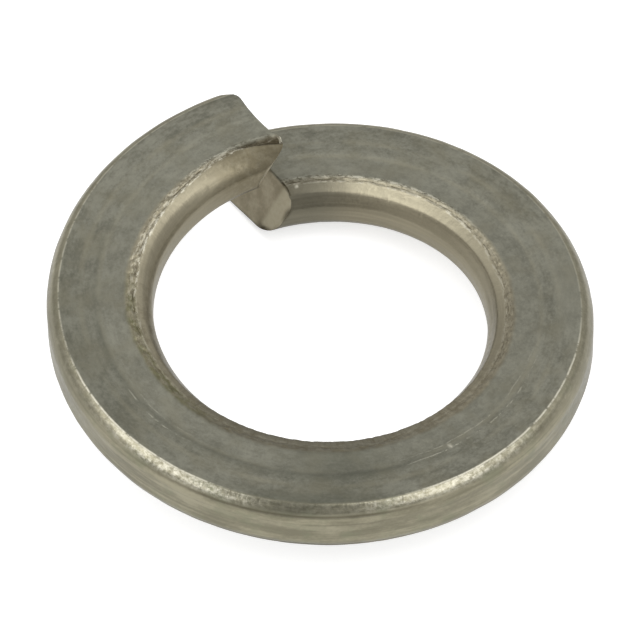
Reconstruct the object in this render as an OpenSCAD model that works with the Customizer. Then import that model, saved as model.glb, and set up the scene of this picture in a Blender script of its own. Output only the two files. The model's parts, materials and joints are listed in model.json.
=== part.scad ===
// Spring lock washer: one turn of rolled bar, coiled left-handed, cut through once on the slant
// and sprung open, so that one end stands above the other. The bore is upright on the Z axis,
// the split is on the +Y side, and the lowest corner of the low end touches Z = 0.

/* [Bolt hole] */
// Diameter of the bore, across the land of the inner wall
bore_d = 12.7; // [12.2:0.1:13.4]

/* [Section of the bar] */
// Radial width of the bar, from inner wall to outer wall
bar_w = 4.05; // [3.2:0.05:4.8]
// Thickness of the bar at its outer wall
outer_t = 2.35; // [2:0.05:2.8]
// Thickness of the bar at its inner wall
inner_t = 2.15; // [1.8:0.05:2.6]
// Reach of the outer edge rounding across each bearing face
outer_round_w = 0.5; // [0.25:0.05:0.8]
// Reach of the outer edge rounding along the outer wall
outer_round_h = 1; // [0.4:0.05:1.1]
// Reach of the inner edge rounding across each bearing face
inner_round_w = 1.05; // [0.5:0.05:1.2]
// Reach of the inner edge rounding along the inner wall
inner_round_h = 1; // [0.4:0.05:1.1]

/* [Coil and split] */
// Height of the raised end above the low end, both at mid section
end_rise = 2.75; // [1.5:0.05:3.5]
// Opening of the split, along the middle circle
split_gap = 0.2; // [0.05:0.05:1]
// Turn of the cut away from the radius, seen from above
cut_skew = 17; // [0:1:25]
// Lean of the cut away from upright, so that the raised end overhangs
cut_lean = 27; // [0:1:32]
// How far the two tips of the raised end stand ahead of its hollowed middle
raised_dish = 0.3; // [0:0.05:0.4]
// Width of the strip by the bore where the blade rolled the raised end over
roll_w = 0.8; // [0.4:0.05:1.2]
// How far that strip falls back along the bar by the time it meets the bore
roll_back = 0.65; // [0:0.05:0.8]

/* [Fineness] */
// Straight steps in one turn of the coil
coil_steps = 120; // [72:12:144]
// Straight steps in each rounded edge of the section
round_steps = 6; // [4:1:7]
// Straight steps across each bearing face
face_steps = 4; // [2:1:6]

/* [Hidden] */
full_turn = 360;
quarter_turn = 90;
// The swept bar is this much too wide at each wall, and true cylinders trim it to size
trim = 0.04;
// Least upright land that the two roundings leave on a wall, above mid section
least_land = 0.05;
// Rounds of the search for the place where a point of the section meets the cut
slide_rounds = 8;
bore_r = bore_d / 2;
outer_r = bore_r + bar_w;
mid_r = (bore_r + outer_r) / 2;
gap_angle = full_turn * split_gap / (2 * PI * mid_r);
coil_angle = full_turn - gap_angle;
bar_height = end_rise + max(outer_t, inner_t);
wall_facets = 180;

// One rounded edge of the section, as a quarter of an ellipse that starts at angle a
function edge(centre, reach, a) =
    [for (i = [0:round_steps])
        centre + [
            reach.x * cos(a + quarter_turn * i / round_steps),
            reach.y * sin(a + quarter_turn * i / round_steps)
        ]];

// Upper half of the bar's section as points [radius, height over mid section], taken from the
// outer wall over the bearing face to the inner wall
function upper_half() =
    let (
        outer_h = min(outer_round_h, outer_t / 2 - least_land),
        inner_h = min(inner_round_h, inner_t / 2 - least_land),
        outer_centre = [outer_r - outer_round_w, outer_t / 2 - outer_h],
        inner_centre = [bore_r + inner_round_w, inner_t / 2 - inner_h],
        face_outer = [outer_centre.x, outer_t / 2],
        face_inner = [inner_centre.x, inner_t / 2]
    )
    concat(
        edge(outer_centre, [outer_round_w + trim, outer_h], 0),
        [for (i = [1:face_steps - 1])
            face_outer + (face_inner - face_outer) * i / face_steps],
        edge(inner_centre, [inner_round_w + trim, inner_h], quarter_turn)
    );

// The whole section: the upper half, and then its mirror image back to the outer wall
function section() =
    let (upper = upper_half())
    concat(upper, [for (i = [len(upper) - 1:-1:0]) [upper[i].x, -upper[i].y]]);

// How far the raised end's face leaves the plane of the cut, by distance from the bore's axis:
// its tips stand ahead, and by the bore it is rolled back
function raised_face(radius) =
    let (
        from_middle = 2 * (radius - mid_r) / bar_w,
        in_strip = max(0, (bore_r + roll_w - radius) / roll_w)
    )
    raised_dish * pow(from_middle, 2) - (roll_back + raised_dish) * pow(in_strip, 2);

// Angle by which a point of the section slides along the coil until it lies in the cut, or ahead
// of it: each round corrects the angle for the turn and the rise of the slide before it
function slide(p, ahead, a = 0, rounds = slide_rounds) =
    rounds < 1 ? a :
    let (
        radial = p.x * cos(a) - mid_r,
        height = p.y + end_rise * a / full_turn,
        along = height * tan(cut_lean) - radial * tan(cut_skew) + ahead
    )
    slide(p, ahead, asin(along / p.x), rounds - 1);

// Place of a section point at angle a of the coil, clockwise from the +Y side
function on_coil(p, a) =
    [p.x * sin(a), p.x * cos(a), p.y + end_rise * a / full_turn];

// Triangles that close one ring of count points, starting at point first. They join each point
// of the upper half to its mirror image below.
function end_face(first, count) =
    [for (i = [0:count / 2 - 2])
        let (
            above = first + i,
            below = first + count - 1 - i
        )
        each [[below, above, above + 1], [below, above + 1, below - 1]]];

// The bar before its walls are trimmed. Every ring of points is taken on the slant of the cut,
// and the rings change by even steps from the low end's face to the raised end's.
module coiled_bar() {
    profile = section();
    low_slides = [for (p = profile) slide(p, 0)];
    raised_slides = [for (p = profile) slide(p, raised_face(p.x))];
    count = len(profile);
    rings = [for (s = [0:coil_steps])
        let (
            share = s / coil_steps,
            a = gap_angle / 2 + coil_angle * share
        )
        [for (i = [0:count - 1])
            on_coil(profile[i], a + low_slides[i] * (1 - share) + raised_slides[i] * share)]];
    lowest = min([for (p = rings[0]) p.z]);
    raised_end = [for (t = end_face(coil_steps * count, count)) [t[2], t[1], t[0]]];
    skin = [for (s = [0:coil_steps - 1]) for (i = [0:count - 1])
        let (
            here = s * count,
            next = here + count,
            j = (i + 1) % count
        )
        each [[here + i, next + i, next + j], [here + i, next + j, here + j]]];
    translate([0, 0, -lowest])
        polyhedron(
            points = [for (ring = rings) each ring],
            faces = concat(end_face(0, count), skin, raised_end)
        );
}

// A true upright cylinder that runs past the coil at both ends
module wall_cylinder(r) {
    translate([0, 0, -bar_height])
        cylinder(h = 3 * bar_height, r = r, $fn = wall_facets);
}

module spring_washer() {
    color("#7c7a6e")
        difference() {
            intersection() {
                coiled_bar();
                wall_cylinder(outer_r);
            }
            wall_cylinder(bore_r);
        }
}

spring_washer();
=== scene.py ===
"""Spring lock washer of rolled, tumbled steel, dressed for its picture.

The washer is one length of bar, coiled once, cut on the slant and sprung open. It is modelled
here in millimetres: a section is slid onto the cut, spun up the coil and then given the marks
of rolling, coiling, shearing and tumbling. It is scaled to metres at the very end.
"""
import functools
import json
import logging
import math
from dataclasses import dataclass, field
from enum import Enum
from typing import Any, NamedTuple

import bmesh
import bpy
from mathutils import Matrix, Vector, noise


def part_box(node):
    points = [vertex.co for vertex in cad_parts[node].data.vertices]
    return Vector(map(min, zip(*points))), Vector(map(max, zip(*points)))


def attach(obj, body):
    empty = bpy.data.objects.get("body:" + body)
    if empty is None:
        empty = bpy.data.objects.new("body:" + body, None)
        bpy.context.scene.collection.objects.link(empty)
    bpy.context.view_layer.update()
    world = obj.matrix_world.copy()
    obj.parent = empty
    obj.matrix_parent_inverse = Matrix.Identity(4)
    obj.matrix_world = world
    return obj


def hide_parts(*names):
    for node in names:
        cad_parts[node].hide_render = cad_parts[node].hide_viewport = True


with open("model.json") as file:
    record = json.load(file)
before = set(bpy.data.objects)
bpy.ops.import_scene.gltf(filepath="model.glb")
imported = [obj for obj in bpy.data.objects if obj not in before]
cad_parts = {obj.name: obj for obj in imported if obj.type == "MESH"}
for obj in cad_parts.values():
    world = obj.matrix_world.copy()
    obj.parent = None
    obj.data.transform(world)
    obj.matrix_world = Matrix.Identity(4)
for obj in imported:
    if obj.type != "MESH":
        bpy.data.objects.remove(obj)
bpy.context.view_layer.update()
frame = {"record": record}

LOG = logging.getLogger("spring_lock_washer")
NODE = "spring_washer"
MM = 0.001
FULL_TURN = 2.0 * math.pi

# Mesh layers that the material reads
PLACE = "bar_place"
CUT_FACE = "cut_face"
HOLLOW = "hollow"
GLINT = "glint"
CREST = "crest"
# Shares of the painted highlights on the break line and on the shoulder, and of the burnished facet
BRIGHT = "bright"

# Settings that many nodes share
EASED = {"interpolation_type": "SMOOTHSTEP"}
COLOURED = {"data_type": "RGBA"}

Socket = bpy.types.NodeSocket

# Values at distances along the bar, in millimetres from the low end
Stations = tuple[tuple[float, float], ...]


class CutEnd(Enum):
    """The two cut ends of the bar, by their share of the way along it."""

    LOW = 0.0
    RAISED = 1.0


class BarPoint(NamedTuple):
    """A point of the bar as if it were still straight, in millimetres."""

    along: float
    radius: float
    height: float


class Marks(NamedTuple):
    """What a mark does at a point: depth in millimetres, and shares of dark and of bright."""

    depth: float = 0.0
    hollow: float = 0.0
    glint: float = 0.0


def smooth_step(low: float, high: float, value: float) -> float:
    """Eases from 0 at low to 1 at high.

    Args:
        low: Value at which the result is 0.
        high: Value at which the result is 1. It may be below low.
        value: The value to ease.

    Returns:
        The eased share.
    """
    share = min(max((value - low) / (high - low), 0.0), 1.0)
    return share * share * (3.0 - 2.0 * share)


def hump(centre: float, reach: float, value: float) -> float:
    """Rises to 1 at centre and falls to 0 at reach on either side."""
    return 1.0 - smooth_step(0.0, reach, abs(value - centre))


def between(stations: Stations, along: float) -> float:
    """Value at a distance along the bar, eased between the stations on either side.

    Args:
        stations: Distances in rising order, each with its value.
        along: Distance along the bar.

    Returns:
        The value. Beyond the first or last station it stays level.
    """
    for (start, low), (end, high) in zip(stations, stations[1:]):
        if along <= end:
            return low + (high - low) * smooth_step(start, end, along)
    return stations[-1][1]


def linear_colour(code: str) -> tuple[float, float, float, float]:
    """Turns an sRGB hex code to the linear colour that a shader takes.

    Args:
        code: Six hex digits with a leading hash.

    Returns:
        Linear red, green, blue and an alpha of 1.
    """
    levels = (int(code[i:i + 2], 16) / 255.0 for i in (1, 3, 5))
    return (*(v / 12.92 if v <= 0.04045 else ((v + 0.055) / 1.055) ** 2.4 for v in levels), 1.0)


def unevenness(x: float, y: float, z: float) -> float:
    """Smooth irregular value at a place, from about -1 to 1 and the same in every run."""
    return noise.noise(Vector((x, y, z)))


def add_node(
    tree: bpy.types.NodeTree,
    kind: str,
    *values: Any,
    by_name: dict[str, Any] | None = None,
    **settings: Any,
) -> Socket | None:
    """Adds one node to a tree, with its settings and links.

    An input takes a number, a vector, an output socket to link from, or an sRGB hex code.

    Args:
        tree: The node tree.
        kind: Blender's name for the kind of node, without ShaderNode in front.
        *values: What the inputs in use take, in their order.
        by_name: What further inputs take, by name.
        **settings: Values for the node's own properties.

    Returns:
        The node's first output in use, if it has any.
    """
    node = tree.nodes.new("ShaderNode" + kind)
    for name, value in settings.items():
        setattr(node, name, value)
    given = list(zip((socket for socket in node.inputs if socket.enabled), values))
    given += [(node.inputs[name], value) for name, value in (by_name or {}).items()]
    for socket, value in given:
        if isinstance(value, Socket):
            tree.links.new(value, socket)
        else:
            socket.default_value = linear_colour(value) if isinstance(value, str) else value
    return next((socket for socket in node.outputs if socket.enabled), None)


@dataclass(frozen=True)
class BarSection:
    """Rolled section of the bar, in millimetres, with the bore's axis at radius 0."""

    bore_radius: float
    outer_radius: float
    outer_thickness: float = 2.35
    inner_thickness: float = 2.15
    outer_round_w: float = 0.5
    outer_round_h: float = 1.0
    inner_round_w: float = 1.05
    inner_round_h: float = 1.0
    trim: float = 0.04
    inner_cells: int = 20
    face_cells: int = 24
    outer_cells: int = 6
    round_cells: int = 10
    land_cells: int = 3

    @property
    def middle_radius(self) -> float:
        """Radius half-way across the bar."""
        return (self.bore_radius + self.outer_radius) / 2.0

    @property
    def face_start(self) -> float:
        """Radius where the inner rounding ends and the flat face starts."""
        return self.bore_radius + self.inner_round_w

    @property
    def face_end(self) -> float:
        """Radius where the flat face ends and the outer rounding starts."""
        return self.outer_radius - self.outer_round_w

    @property
    def inner_reach(self) -> float:
        """Reach of the inner rounding across the face, with the trim."""
        return self.inner_round_w + self.trim

    @property
    def columns(self) -> int:
        """Cells across the bar."""
        return self.inner_cells + self.face_cells + self.outer_cells

    @property
    def rows(self) -> int:
        """Cells through the thickness."""
        return 2 * self.round_cells + self.land_cells

    def _face_share(self, radius: float) -> float:
        """Share of the way across the flat face, from the inner rounding to the outer one."""
        past = (radius - self.face_start) / (self.face_end - self.face_start)
        return min(max(past, 0.0), 1.0)

    def half_thickness(self, radius: float) -> float:
        """Half the bar's thickness at a radius, before its edges are rounded."""
        taper = self.outer_thickness - self.inner_thickness
        return (self.inner_thickness + self._face_share(radius) * taper) / 2.0

    def round_height(self, radius: float) -> float:
        """How far down the wall the rounding reaches, blended across the bar."""
        change = self.outer_round_h - self.inner_round_h
        return self.inner_round_h + self._face_share(radius) * change

    def column_radius(self, column: int) -> float:
        """Radius of one column line of the section, before its edges are rounded.

        Args:
            column: Line number from the inner wall.

        Returns:
            The radius. Lines lie closer together in the roundings.
        """
        start, end = self.face_start, self.face_end
        if column <= self.inner_cells:
            return self.bore_radius + self.inner_round_w * column / self.inner_cells
        column -= self.inner_cells
        if column <= self.face_cells:
            return start + (end - start) * column / self.face_cells
        return end + self.outer_round_w * (column - self.face_cells) / self.outer_cells

    def row_height(self, row: int, radius: float) -> float:
        """Height of one row line of the section over mid section, before rounding.

        Args:
            row: Line number from the lower bearing face.
            radius: Radius of the point.

        Returns:
            The height at that radius.
        """
        half = self.half_thickness(radius)
        reach = self.round_height(radius)
        land = half - reach
        if row <= self.round_cells:
            return -half + reach * row / self.round_cells
        row -= self.round_cells
        if row <= self.land_cells:
            return -land + 2.0 * land * row / self.land_cells
        return land + reach * (row - self.land_cells) / self.round_cells

    def point(self, column: int, row: int) -> tuple[float, float]:
        """Place of a grid point in the section, with the four edges rounded.

        Each square corner of the grid is drawn in to a quarter of an ellipse.

        Args:
            column: Line number from the inner wall.
            row: Line number from the lower bearing face.

        Returns:
            Radius and height over mid section.
        """
        radius = self.column_radius(column)
        height = self.row_height(row, radius)
        inner = radius < self.middle_radius
        reach_w = self.inner_round_w if inner else self.outer_round_w
        outward = -1.0 if inner else 1.0
        centre = (self.bore_radius if inner else self.outer_radius) - outward * reach_w
        reach_h = self.round_height(radius)
        land = self.half_thickness(radius) - reach_h
        across = (radius - centre) * outward / reach_w
        up = (abs(height) - land) / reach_h
        if across > 0.0 and up > 0.0:
            squeeze = max(across, up) / math.hypot(across, up)
            radius = centre + outward * (reach_w + self.trim) * across * squeeze
            height = math.copysign(land + reach_h * up * squeeze, height)
        return min(max(radius, self.bore_radius), self.outer_radius), height


@dataclass(frozen=True)
class SlantCut:
    """Cut through the bar, turned from the radius and leaning. Lengths are in millimetres."""

    gap: float = 0.2
    skew: float = math.radians(17.0)
    lean: float = math.radians(27.0)
    raised_dish: float = 0.3
    roll_w: float = 0.8
    roll_back: float = 0.65
    worn_corner: float = 0.5
    corner_edge: float = 0.35

    def ahead(self, end: CutEnd, radius: float, section: BarSection) -> float:
        """How far an end's face stands ahead of the plane of the cut.

        Args:
            end: Which end of the bar.
            radius: Radius of the point.
            section: The bar's section.

        Returns:
            The distance along the bar. Only the raised end leaves the plane: its tips stand
            ahead, its strip by the bore is rolled back and its outer corner is worn round.
        """
        if end is CutEnd.LOW:
            return 0.0
        half_width = (section.outer_radius - section.bore_radius) / 2.0
        from_middle = (radius - section.middle_radius) / half_width
        in_strip = max(0.0, 1.0 - (radius - section.bore_radius) / self.roll_w)
        rolled = (self.roll_back + self.raised_dish) * in_strip ** 2
        corner_start = section.outer_radius - self.corner_edge - self.worn_corner
        past = min(max(0.0, radius - corner_start), self.worn_corner)
        worn = self.worn_corner - math.sqrt(self.worn_corner ** 2 - past ** 2)
        return self.raised_dish * from_middle ** 2 - rolled - worn


@dataclass(frozen=True)
class Coil:
    """One left-handed turn of the bar, sprung open. Lengths are in millimetres."""

    section: BarSection
    cut: SlantCut = SlantCut()
    end_rise: float = 2.75
    slide_rounds: int = 8

    @property
    def start(self) -> float:
        """Angle of the low end past the middle of the split."""
        return self.cut.gap / self.section.middle_radius / 2.0

    @property
    def turn(self) -> float:
        """Angle from the low end to the raised end."""
        return FULL_TURN - 2.0 * self.start

    @property
    def lowest(self) -> float:
        """Height of the low end's lowest corner, over mid section at the split."""
        points = (self.section.point(column, 0) for column in range(self.section.columns + 1))
        return min(
            self.place(r, h, self.start + self.slide(r, h, CutEnd.LOW)).z for r, h in points
        )

    @property
    def middle_height(self) -> float:
        """Height of mid section opposite the split, over the lowest corner."""
        return self.end_rise / 2.0 - self.lowest

    def slide(self, radius: float, height: float, end: CutEnd) -> float:
        """Angle by which a section point slides along the coil to lie in the end's face.

        Args:
            radius: Radius of the point.
            height: Height of the point over mid section.
            end: Which end of the bar.

        Returns:
            The angle, clockwise from above.
        """
        angle = 0.0
        ahead = self.cut.ahead(end, radius, self.section)
        for _ in range(self.slide_rounds):
            radial = radius * math.cos(angle) - self.section.middle_radius
            rise = height + self.end_rise * angle / FULL_TURN
            along = rise * math.tan(self.cut.lean) - radial * math.tan(self.cut.skew) + ahead
            angle = math.asin(along / radius)
        return angle

    def place(self, radius: float, height: float, angle: float) -> Vector:
        """Point on the coil at an angle, clockwise from the split on the +Y side."""
        rise = self.end_rise * angle / FULL_TURN
        return Vector((radius * math.sin(angle), radius * math.cos(angle), height + rise))


@dataclass(frozen=True)
class RolledRelief:
    """Marks that rolling, coiling and tumbling leave on the bar. Lengths are in millimetres.

    Nearly every mark cuts inwards, so the washer stays inside its nominal size. A line of
    stations gives a value at each of several distances along the bar, from the low end.
    """

    corner_angle: float = math.radians(38.0)
    upper_facet: float = 0.05
    lower_facet: float = 0.085
    crest_line: Stations = (
        (0.0, 7.22), (8.8, 7.24), (13.4, 7.08), (43.9, 7.04), (48.2, 7.12), (51.0, 7.3),
    )
    flaked: Stations = (
        (0.0, 0.2), (2.2, 0.5), (4.4, 1.0), (8.5, 1.0), (11.7, 0.35), (19.0, 0.15),
        (35.0, 0.1), (41.5, 0.35), (44.0, 0.9), (51.2, 0.9), (52.2, 0.15),
    )
    pleated: Stations = ((17.0, 0.1), (22.0, 1.0), (34.5, 1.0), (38.5, 0.35), (42.0, 0.1))
    # Shares along the bar of the break line: a burnished edge, painted bright as a highlight where
    # the lamps mirror in it. The break's step follows the same shares.
    bright_break: Stations = (
        (0.0, 0.25), (16.0, 0.2), (18.8, 0.8), (24.6, 1.0), (27.2, 0.0), (31.8, 0.0),
        (33.4, 0.9), (37.8, 1.0), (40.0, 0.4), (52.4, 0.25),
    )
    # Shares along the bar of the painted highlight on the outer shoulder, where the lamps mirror in
    # it
    shoulder_highlight: Stations = (
        (0.0, 0.1), (20.5, 0.15), (24.2, 0.9), (27.2, 0.7), (28.6, 0.15), (30.6, 0.15),
        (32.2, 0.9), (35.2, 0.9), (38.0, 0.25), (42.0, 0.1),
    )
    burnished_facet: Stations = (
        (0.0, 0.05), (2.5, 0.15), (4.8, 1.0), (7.8, 1.0), (11.0, 0.6), (15.4, 0.15),
        (20.0, 0.2), (24.0, 0.5), (28.5, 0.05), (33.0, 0.1), (38.0, 0.3), (42.0, 0.25),
        (46.0, 0.15), (49.4, 0.15), (52.4, 0.0),
    )
    faceted: Stations = ((34.0, 1.0), (42.0, 0.35))
    # Painted glints: two small bright spots, with no dent under them
    glint_spots: tuple[BarPoint, ...] = (BarPoint(1.75, 7.07, 1.0), BarPoint(24.1, 8.5, 1.13))
    grooved: Stations = ((24.0, 0.15), (27.6, 1.0), (33.2, 1.0), (36.0, 0.15))
    crest_seed: float = 40.0
    crest_wander: float = 0.035
    wrinkle_outer: float = 7.52
    wrinkle_fade: float = 0.2
    wrinkle_depth: float = 0.035
    pleat_depth: float = 0.025
    crack_depth: float = 0.035
    crack_offset: float = 0.02
    crack_reach: float = 0.06
    ridge_seed: float = 23.0
    ridge_radius: float = 8.5
    ridge_wander: float = 0.1
    ridge_reach: float = 0.05
    ridge_step: float = 0.035
    shoulder_seed: float = 61.0
    shoulder_radius: float = 9.9
    shoulder_rise: float = 0.06
    shoulder_fall: tuple[float, float] = (10.12, 9.97)
    shoulder_break: float = 0.014
    groove_wall: tuple[float, float] = (10.1, 10.26)
    groove_height: float = 0.82
    groove_wander: float = 0.04
    groove_reach: float = 0.09
    groove_depth: float = 0.02
    wear_depth: float = 0.02
    dent_depth: float = 0.014
    knock_depth: float = 0.06
    knock_least: float = 0.55
    glint_spot_reach: float = 0.12

    def crest_radius(self, p: BarPoint) -> float:
        """Radius of the broken crest that coiling raised beside the bore.

        Args:
            p: Point of the straight bar.

        Returns:
            The crest's radius beside the point.
        """
        side = math.copysign(self.crest_seed, p.height)
        wander = self.crest_wander * unevenness(p.along * 0.8, side, 0.0)
        return between(self.crest_line, p.along) + wander

    def facets(self, p: BarPoint, section: BarSection) -> float:
        """Depth of the two flat facets that the rolls left on the upper inner rounding.

        Args:
            p: Point of the straight bar.
            section: The bar's section.

        Returns:
            The depth under the ellipse. It is nil at the corner between the facets.
        """
        land = section.half_thickness(p.radius) - section.inner_round_h
        across = (section.face_start - p.radius) / section.inner_reach
        up = (abs(p.height) - land) / section.inner_round_h
        if across <= 0.0 or up <= 0.0 or p.height < 0.0:
            return 0.0
        angle = math.atan2(across, up)
        share = between(self.faceted, p.along)
        if angle < self.corner_angle:
            return share * self.upper_facet * math.sin(math.pi * angle / self.corner_angle)
        left = (angle - self.corner_angle) / (math.pi / 2.0 - self.corner_angle)
        return share * self.lower_facet * math.sin(math.pi * left)

    def inner_edge(self, p: BarPoint, facing: float) -> Marks:
        """Wrinkled band and broken crack line where coiling pressed the bar short.

        Args:
            p: Point of the straight bar.
            facing: How squarely the point faces up or down, from 0 to 1.

        Returns:
            The marks at the point.
        """
        side = math.copysign(self.crest_seed, p.height)
        shown = smooth_step(0.3, 0.7, facing)
        line = self.crest_radius(p)
        pleats = between(self.pleated, p.along)
        band = smooth_step(self.wrinkle_outer, self.wrinkle_outer - self.wrinkle_fade, p.radius)
        band *= smooth_step(line - 0.03, line + 0.04, p.radius) * shown
        cell = unevenness(p.along * 3.2, p.radius * 6.0, side)
        fine = unevenness(p.along * 6.0, p.radius * 9.0, side + 7.0)
        wrinkle = band * max(0.0, 0.25 + 0.9 * cell + 0.6 * fine)
        cross = unevenness(p.along * 4.5, p.radius * 0.8, side + 13.0)
        pleat = pleats * shown * max(0.0, 0.2 + 1.2 * cross)
        pleat *= smooth_step(self.wrinkle_outer - 0.05, self.wrinkle_outer - 0.4, p.radius)
        broken = smooth_step(-0.15, 0.2, unevenness(p.along * 1.5, side, 11.0))
        crack = hump(line + self.crack_offset, self.crack_reach, p.radius)
        crack *= broken * shown * (1.0 - pleats)
        depth = self.wrinkle_depth * wrinkle + self.pleat_depth * pleat + self.crack_depth * crack
        return Marks(depth, min(1.0, 0.35 * wrinkle + 0.5 * crack + 0.1 * pleat))

    def face(self, p: BarPoint, facing: float) -> Marks:
        """Rolled step part-way across each bearing face.

        Args:
            p: Point of the straight bar.
            facing: How squarely the point faces up or down, from 0 to 1.

        Returns:
            The depth at the point.
        """
        side = math.copysign(self.ridge_seed, p.height)
        line = self.ridge_radius + self.ridge_wander * unevenness(p.along * 0.12, side, 5.0)
        past = smooth_step(line + self.ridge_reach, line - self.ridge_reach, p.radius)
        fade = smooth_step(self.wrinkle_outer - 0.4, self.ridge_radius - 0.3, p.radius)
        shown = smooth_step(-0.35, 0.1, unevenness(p.along * 0.3, side, 9.0))
        return Marks(self.ridge_step * past * fade * facing * (0.3 + 0.7 * shown))

    def outer_edge(self, p: BarPoint) -> Marks:
        """Crisp break where the face meets the outer shoulder, and the groove under it.

        Args:
            p: Point of the straight bar.

        Returns:
            The marks at the point.
        """
        side = math.copysign(self.shoulder_seed, p.height)
        rise = min(max((p.radius - self.shoulder_radius) / self.shoulder_rise, 0.0), 1.0)
        fall = smooth_step(*self.shoulder_fall, p.radius)
        wall = smooth_step(*self.groove_wall, p.radius)
        line = self.groove_height + self.groove_wander * unevenness(p.along * 0.25, side, 0.0)
        groove = hump(line, self.groove_reach, abs(p.height)) * wall
        groove *= between(self.grooved, p.along)
        step = self.shoulder_break * rise * fall * between(self.bright_break, p.along)
        rough = 0.5 + 0.5 * unevenness(p.along * 1.3, p.radius * 2.0, p.height * 2.0)
        worn = self.wear_depth * rough * rise
        # The groove's dark share is painted shade in the crease
        return Marks(step + worn + self.groove_depth * groove, 0.55 * groove)

    def tumbled(self, p: BarPoint) -> Marks:
        """Shallow dents and low waves that cover the whole bar, a few deeper knocks, and two
        painted glint spots.

        Args:
            p: Point of the straight bar.

        Returns:
            The marks at the point.
        """
        where = Vector((p.along, p.radius, p.height))
        wave = noise.noise(where * 0.9)
        dent = noise.noise(where * 3.0 + Vector((5.0, 5.0, 5.0)))
        depth = self.dent_depth * (0.5 + 0.3 * wave + 0.2 * dent)
        knock = noise.noise(where * 1.9 + Vector((60.0, 0.0, 0.0))) - self.knock_least
        knock = max(0.0, knock)
        glint_spot = max(hump(0.0, self.glint_spot_reach, math.dist(p, place)) for place in self.glint_spots)
        return Marks(depth + self.knock_depth * knock, min(0.2, 0.8 * knock), glint_spot)

    def at(self, p: BarPoint, facing: float, section: BarSection) -> Marks:
        """All the marks at one point of the bar.

        Args:
            p: Point of the straight bar.
            facing: How squarely the point faces up or down, from 0 to 1.
            section: The bar's section.

        Returns:
            The depths added up, with the strongest shares.
        """
        marks = [self.tumbled(p)]
        if p.radius < self.wrinkle_outer + 0.1:
            marks.append(self.inner_edge(p, facing))
            marks.append(Marks(self.facets(p, section)))
        if facing > 0.3:
            marks.append(self.face(p, facing))
        if p.radius > self.shoulder_radius - 0.1:
            marks.append(self.outer_edge(p))
        depths, hollows, glints = zip(*marks)
        return Marks(sum(depths), max(hollows), max(glints))


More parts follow.
